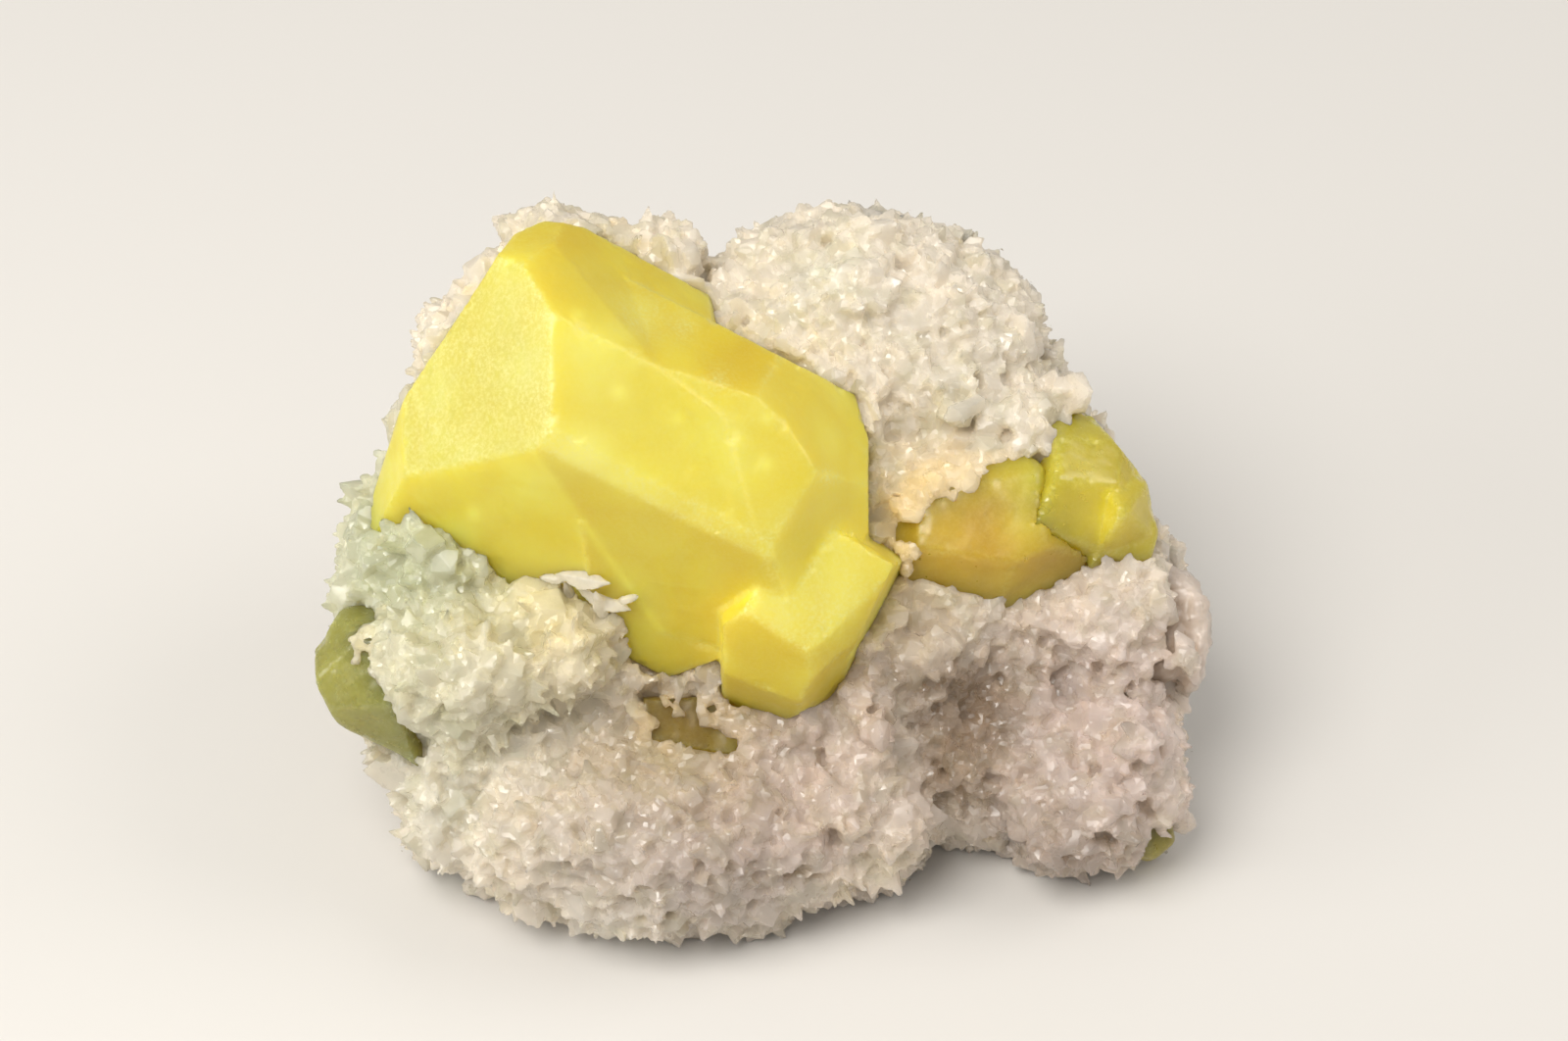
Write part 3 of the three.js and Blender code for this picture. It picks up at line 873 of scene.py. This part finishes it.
def crystal_mesh(seats, axes, lengths, widths, kinds, shine, tints, rng):
    """Vertices, faces and, for each face, tint and shine of crystals standing on their seats."""
    parts = []
    base = 0
    for kind, (shape, faces) in enumerate(SHAPES):
        use = np.flatnonzero(kinds == kind)
        if not len(use):
            continue
        n = len(use)
        axis = axes[use]
        side = unit(np.cross(axis, rng.normal(size=(n, 3))))
        other = np.cross(axis, side)
        body = shape[None] * (1 + rng.normal(0, 0.08, (n, len(shape), 3)))
        body = body + rng.normal(0, 0.06, (n, len(shape), 3))
        flat = 0.6 + 0.4 * rng.random(n)
        v = (body[:, :, 0:1] * side[:, None] * widths[use, None, None]
             + body[:, :, 1:2] * other[:, None] * (widths[use] * flat)[:, None, None]
             + body[:, :, 2:3] * axis[:, None] * lengths[use, None, None]) * MM
        v += seats[use][:, None]
        v[:, :, 2] = np.maximum(v[:, :, 2], 0)
        f = (faces[None] + base + np.arange(n)[:, None, None] * len(shape)).reshape(-1, 3)
        parts.append((v.reshape(-1, 3), f, np.repeat(tints[use], len(faces), 0),
                      np.repeat(shine[use], len(faces))))
        base += n * len(shape)
    return [np.concatenate(part) for part in zip(*parts)]


def half_block(centre, other):
    """A convex block of the space nearer to centre than to the other place, and a margin."""
    bm = bmesh.new()
    bmesh.ops.create_cube(bm, size=0.4)
    away = other - centre
    away /= np.linalg.norm(away)
    middle = (centre + other) / 2 + away * SEAM_MARGIN
    cut = bmesh.ops.bisect_plane(bm, geom=bm.verts[:] + bm.edges[:] + bm.faces[:],
                                 plane_co=middle, plane_no=away, clear_outer=True)
    rim = [edge for edge in cut["geom_cut"] if isinstance(edge, bmesh.types.BMEdge)]
    bmesh.ops.contextual_create(bm, geom=rim)
    bmesh.ops.triangulate(bm, faces=bm.faces)
    bmesh.ops.recalc_face_normals(bm, faces=bm.faces)
    mesh = bpy.data.meshes.new("block")
    bm.to_mesh(mesh)
    bm.free()
    return add_object("block", mesh)


def part_of_bed(block):
    """Vertices and triangles of the bed inside a block."""
    part = add_object("part", bed.data.copy())
    modify(part, "BOOLEAN", operation="INTERSECT", solver="MANIFOLD", object=block)
    vertices, faces = positions(part.data), triangles(part.data)
    bpy.data.objects.remove(part)
    bpy.data.objects.remove(block)
    return vertices, faces


def druse_piece(name, block, crystals, rng):
    """Crystals grown together with the bed under them, as one closed mesh."""
    bed_v, bed_f = part_of_bed(block)
    v, f, tints, shine = crystal_mesh(*crystals, rng)
    bed_tint = calcite_colour(bed_v[bed_f].mean(axis=1), rng, 0) * BED_SHADE
    vertices = np.concatenate([bed_v, v])
    faces = np.concatenate([bed_f, f + len(bed_v)])
    tints = np.concatenate([bed_tint, tints])
    shine = np.concatenate([np.zeros(len(bed_f)), shine])
    piece = make_object(name, vertices, faces)
    source = BVHTree.FromPolygons(vertices.tolist(), faces.tolist())
    remesh(piece, DRUSE_VOXEL)
    set_positions(piece.data, np.array([source.find_nearest(p)[0] for p in positions(piece.data)]))
    modify(piece, "DECIMATE", ratio=min(1, DRUSE_TRIANGLES / (2 * len(piece.data.polygons))))
    home = np.array([source.find_nearest(point)[2] for point in positions(piece.data)])
    paint(piece.data, np.clip(soften(piece.data, tints[home], 1), 0, 0.97))
    store(piece.data, "shine", shine[home])
    dress(piece, DRUSE, 20)
    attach(piece, "root")
    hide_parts("calcite_matrix")


# Where the druse is coarser or finer: place on the display face, reach, change of size.
GRAIN = [
    ((-30, -8, 14), 14, 0.35),
    ((-4, -32, 6), 18, -0.12),
    ((36, -20, 6), 15, -0.28),
    ((30, -4, 4), 12, -0.15),
    ((12, 24, 6), 14, -0.08),
]


def grain_size(points):
    spot = to_face(points)
    size = np.ones(len(points))
    for centre, reach, change in GRAIN:
        size += change * np.exp(-reaches_from(spot, centre, reach) ** 2)
    return size


def layer_of(count, pitch, length, width, lean, sink, mixture, seed):
    """Seats, axes and sizes for one size class of the druse."""
    rng = np.random.default_rng(seed)
    spots, out = scatter(bed.data, count, rng)
    use = thin(spots, pitch, rng)
    spots, out = spots[use], out[use]
    gap = distances(sulfur_tree, spots)
    use = (gap > 0.1) & ~inside_of(spots, sulfur_tree) & (spots[:, 2] > BASE_CLEAR * MM)
    spots, out, gap = spots[use], out[use], gap[use]
    home = np.array([hub_tree.find(spot)[1] for spot in spots])
    away = unit(spots - (hubs[home] - hub_out[home] * HUB_DEPTH * MM))
    axes = away * 0.7 + out * 0.5 + hub_lean[home] * 0.35 + rng.normal(0, lean, spots.shape)
    axes = unit(axes)
    spread = np.linalg.norm(spots - hubs[home], axis=1) / MM
    dome = hub_rise[home] * np.clip(1 - (spread / HUB_REACH) ** 2, -0.3, 1)
    size = grain_size(spots)
    lengths = length * size * rng.lognormal(0, 0.2, len(spots))
    widths = width * size * rng.lognormal(0, 0.18, len(spots))
    seats = spots + out * ((dome - sink * lengths) * MM)[:, None]
    kinds = rng.choice(3, len(spots), p=mixture)
    tips = seats + axes * (lengths * MM)[:, None]
    skin = np.array([envelope.find_nearest(tip)[0] for tip in tips])
    above = np.einsum("ij,ij->i", tips - skin, out) / MM
    rise = dome + (1 - sink) * lengths
    seats -= out * (np.clip(above - TIP_LIMIT, 0, np.maximum(rise - LEAST_RISE, 0)) * MM)[:, None]
    tips = seats + axes * (lengths * MM)[:, None]
    hides = np.array([sulfur_tree.ray_cast(tip, -OUT, VEIL_REACH)[0] is not None for tip in tips])
    hides &= gap < VEIL_GAP
    shrink = np.where(hides & (lengths > LONG_CRYSTAL), 0.5, 1.0)
    lengths, widths = lengths * shrink, widths * shrink
    seats = np.where(hides[:, None], spots - out * (sink * lengths * MM)[:, None], seats)
    tips = seats + axes * (lengths * MM)[:, None]
    use = tips[:, 2] > 0.1 * MM
    for end in (tips, seats):
        beside = (to_face(end) - np.array(RIND_PLACE)) / np.array(RIND_REACH)
        use &= np.linalg.norm(beside, axis=1) > 1
    shine = rng.random(len(spots)) ** 3
    return [part[use] for part in (seats, axes, lengths, widths, kinds, shine)], rng


# Druse that has grown over the sulfur: node, place (x, y) on the display face, reach, how much
# of the place is covered, and the size of its crystals.
OVERGROWTH = [
    ("amber_sulfur", (14.5, 9), 4.0, 1.0, 1.1),
    ("amber_sulfur", (19.5, 12), 4.2, 1.0, 1.2),
    ("amber_sulfur", (25, 14.5), 2.6, 1.0, 1.1),
    ("amber_sulfur", (15, 2), 1.6, 0.9, 0.9),
    ("amber_sulfur", (35, -2), 2.5, 1.0, 1.0),
    ("main_sulfur_cluster", (-30, -4.5), 1.5, 0.6, 0.8),
    ("main_sulfur_cluster", (-21.5, -4.2), 2.2, 0.7, 0.9),
    ("main_sulfur_cluster", (-16, -6.5), 1.6, 0.7, 0.9),
    ("left_sulfur", (-42, -7), 2.4, 0.6, 0.9),
    ("rear_sulfur", (-16, 37), 3.0, 1.0, 1.2),
    ("pocket_sulfur", (-5, -15), 2.4, 0.9, 0.9),
    ("pocket_sulfur", (-14, -16), 2.2, 0.9, 0.9),
    ("pocket_sulfur", (-10.5, -20), 1.8, 0.9, 0.8),
    ("pocket_sulfur", (-10, -13.5), 1.6, 0.7, 0.7),
]


def overgrowth(rng):
    """Seats, axes and sizes of the crystals that stand on the sulfur."""
    found = []
    for node, place, reach, cover, size in OVERGROWTH:
        spots, out = scatter(NODES[node].data, 9000, rng)
        ragged = reaches_from(to_face(spots), place, reach) + (fbm(spots, 2.5, 131) - 0.5) * 0.9
        use = np.flatnonzero((ragged < 0.95) & (out @ OUT > 0.1))
        use = use[thin(spots[use], 1.1, rng)]
        use = use[rng.random(len(use)) < cover]
        spots, out = spots[use], out[use]
        found.append((spots - out * 0.25 * MM,
                      unit(out * 0.8 + rng.normal(0, 0.5, spots.shape)),
                      1.5 * size * rng.lognormal(0, 0.3, len(spots)),
                      0.95 * size * rng.lognormal(0, 0.25, len(spots))))
    seats, axes, lengths, widths = (np.concatenate(part) for part in zip(*found))
    kinds = rng.choice(3, len(seats), p=(0.45, 0.3, 0.25))
    return seats, axes, lengths, widths, kinds, rng.random(len(seats)) ** 3


hub_rng = np.random.default_rng(5)
hubs, hub_out = scatter(bed.data, 6000, hub_rng)
chosen = thin(hubs, HUB_PITCH, hub_rng)
hubs, hub_out = hubs[chosen], hub_out[chosen]
hub_lean = hub_rng.normal(0, 0.6, hubs.shape)
hub_rise = hub_rng.uniform(0, HUB_RISE, len(hubs))
hub_tree = point_tree(hubs)

LAYERS = [
    # points, pitch, length, radius, lean, share sunk, shares of the shapes, seed
    (60000, 3.1, 4.2, 1.90, 0.36, 0.42, (0.35, 0.35, 0.30), 101),
    (60000, 3.0, 3.8, 1.25, 0.45, 0.36, (0.60, 0.10, 0.30), 109),
    (90000, 2.1, 3.0, 1.35, 0.48, 0.36, (0.40, 0.40, 0.20), 103),
    (120000, 1.5, 2.1, 0.95, 0.60, 0.18, (0.50, 0.35, 0.15), 107),
]

grown = []
for settings in LAYERS:
    found, rng = layer_of(*settings)
    tints = calcite_colour(found[0], rng, 0.05)
    clear = rng.random(len(tints)) < CLEAR_SHARE
    grown.append([*found, np.where(clear[:, None], tints * CLEARER, tints)])
rng = np.random.default_rng(151)
found = overgrowth(rng)
grown.append([*found, calcite_colour(found[0], rng, 0.06) * OVERGROWN])
crystals = [np.concatenate(part) for part in zip(*grown)]

# The druse is made in two halves. A crystal belongs to the one whose middle is nearer, give or
# take the wander of the seam.
front, rear = from_face((0, 0, 10)), from_face((0, 0, -24))
seats = crystals[0]
wander = (fbm(seats, 6.0, 223, 2) - 0.5) * SEAM_WANDER
at_rear = np.linalg.norm(seats - front, axis=1) + wander > np.linalg.norm(seats - rear, axis=1)
rng = np.random.default_rng(211)
druse_piece("druse_front", half_block(front, rear), [part[~at_rear] for part in crystals], rng)
druse_piece("druse_rear", half_block(rear, front), [part[at_rear] for part in crystals], rng)
bpy.data.objects.remove(bed)

# ---- rind ----


def tube(start, rings, end):
    """A closed skin over rings of points, with one more point at each end."""
    sides = len(rings[0])
    v = np.concatenate([[start], *rings, [end]])
    last = len(v) - 1
    f = []
    for k in range(sides):
        n = (k + 1) % sides
        f += [(0, 1 + n, 1 + k), (last, last - sides + k, last - sides + n)]
        for ring in range(len(rings) - 1):
            a, b = 1 + ring * sides, 1 + (ring + 1) * sides
            f += [(a + k, a + n, b + n), (a + k, b + n, b + k)]
    return v, np.array(f)


def rind_mesh(sides=14, steps=5):
    """A closed lip that follows the middle line, deeper than it is thick."""
    line = np.array([place for place, _ in RIND], float)
    thick = np.array([size for _, size in RIND])
    t = np.linspace(0, len(RIND) - 1, (len(RIND) - 1) * steps + 1)
    path = np.stack([np.interp(t, range(len(RIND)), line[:, i]) for i in range(3)], axis=1)
    for _ in range(steps):
        path[1:-1] = (path[:-2] + path[1:-1] * 2 + path[2:]) / 4
    size = np.interp(t, range(len(RIND)), thick)
    outward = unit(np.cross(unit(np.gradient(path, axis=0)), (0, 0, 1)))
    turns = [2 * math.pi * k / sides for k in range(sides)]
    rings = [[from_face(centre + side * half * math.cos(turn) * 0.9
                        + np.array([0, 0, half * RIND_DEPTH * 0.5 * math.sin(turn)]))
              for turn in turns] for centre, side, half in zip(path, outward, size)]
    return tube(from_face(path[0]), rings, from_face(path[-1]))


rind_v, rind_f = rind_mesh()
bm = bmesh.new()
bmesh.ops.create_icosphere(bm, subdivisions=4, radius=1)
fill_v = np.array([v.co[:] for v in bm.verts])
fill_f = np.array([[v.index for v in face.verts] for face in bm.faces])
bm.free()
fill_v = from_face(fill_v * np.array(FILL_SIZE) + np.array(FILL_PLACE))
rind = make_object("calcite_rind", np.concatenate([rind_v, fill_v]),
                   np.concatenate([rind_f, fill_f + len(rind_v)]))
remesh(rind, 0.3 * MM)
points = positions(rind.data)
ripple = (fbm(points, 3.2, 311, 2) - 0.5) * 2.8 + (fbm(points, 1.1, 313, 2) - 0.5) * 1.0
points = points + normals(rind.data) * (ripple * MM)[:, None]
points[:, 2] = np.maximum(points[:, 2], 0)
set_positions(rind.data, points)
spot = to_face(points)
# Painted shade: a darker band along the depth of the lip, and on its hollow side.
band = np.exp(-((spot[:, 2] + 1.0 + 1.2 * fbm(points, 2.0, 317)) / 1.0) ** 2)[:, None]
lip = np.interp(-spot[:, 1], [-place[1] for place, _ in RIND], [place[0] for place, _ in RIND])
inner = smoothstep(0.4, 2.2, lip - spot[:, 0])[:, None]
shade = (1 - 0.25 * band) * (0.9 + 0.2 * fbm(points, 1.5, 319))[:, None]
shade = shade * (1 - inner * (1 - RIND_HOLLOW))
paint(rind.data, np.array([0.54, 0.45, 0.385]) * shade)
store(rind.data, "shine", np.full(len(points), 0.3))
dress(rind, DRUSE)
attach(rind, "root")

# ---- calcite blade ----


def on_sulfur(x, y, lift):
    """World position over the sulfur at a place on the display face, lifted by so many mm."""
    hit = sulfur_tree.ray_cast(from_face((x, y, 60)), -OUT)[0]
    return np.array(hit) + OUT * lift * MM


# Shards of the blade: from, to (on the display face, and lift), half width and thickness, mm.
SHARDS = [
    ((-22.6, -0.2, 0.3), (-16.2, -1.3, 1.4), 1.25, 0.55),
    ((-20.4, -1.5, 0.3), (-14.2, -4.2, 1.3), 1.40, 0.60),
    ((-18.2, -1.9, 1.1), (-17.0, -5.8, 0.3), 1.10, 0.50),
    ((-21.6, -1.0, 0.9), (-19.6, -4.8, 0.2), 1.10, 0.50),
    ((-16.4, -3.3, 0.5), (-13.4, -2.6, 1.4), 0.75, 0.40),
    ((-24.4, -0.6, 0.2), (-21.0, -0.9, 1.1), 0.80, 0.40),
]


def shard_mesh(start, end, half_width, half_thickness, rng):
    """A closed flake that runs to a point at both ends."""
    axis = end - start
    side = np.cross(axis, OUT)
    side /= np.linalg.norm(side)
    up = np.cross(side, axis)
    up /= np.linalg.norm(up)
    rings = []
    for along, wide in ((0.16, 0.55), (0.42, 1.0), (0.68, 0.86), (0.88, 0.42)):
        middle = start + axis * along + up * rng.normal(0, 0.12) * MM
        w = half_width * wide * rng.uniform(0.8, 1.15) * MM
        t = half_thickness * (0.5 + 0.5 * wide) * MM
        rings.append([middle + side * w, middle + up * t, middle - side * w * 0.85, middle - up * t])
    return tube(start, rings, end)


rng = np.random.default_rng(301)
blade_v, blade_f = [], []
for start, end, half_width, half_thickness in SHARDS:
    v, f = shard_mesh(on_sulfur(*start), on_sulfur(*end), half_width, half_thickness, rng)
    blade_f.append(f + len(v) * len(blade_v))
    blade_v.append(v)
blade = make_object("calcite_blade_skin", np.concatenate(blade_v), np.concatenate(blade_f))
remesh(blade, 0.16 * MM)
points = positions(blade.data)
points = points + normals(blade.data) * ((fbm(points, 1.0, 91) - 0.5) * 0.22 * MM)[:, None]
set_positions(blade.data, points)
paint(blade.data, np.array([0.70, 0.65, 0.53]) * (0.85 + 0.3 * fbm(points, 1.6, 93))[:, None])
store(blade.data, "shine", fbm(points, 1.2, 95))
dress(blade, BLADE)
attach(blade, "root")
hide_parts("calcite_blade")

# ---- floor ----

floor = make_object("floor", np.array([[-3, -3, 0], [3, -3, 0], [3, 3, 0], [-3, 3, 0]], float),
                    np.array([[0, 1, 2, 3]]))
floor_look = {"Base Color": (0.74, 0.72, 0.69, 1), "Roughness": 0.85}
floor.data.materials.append(new_material("floor", floor_look)[0])
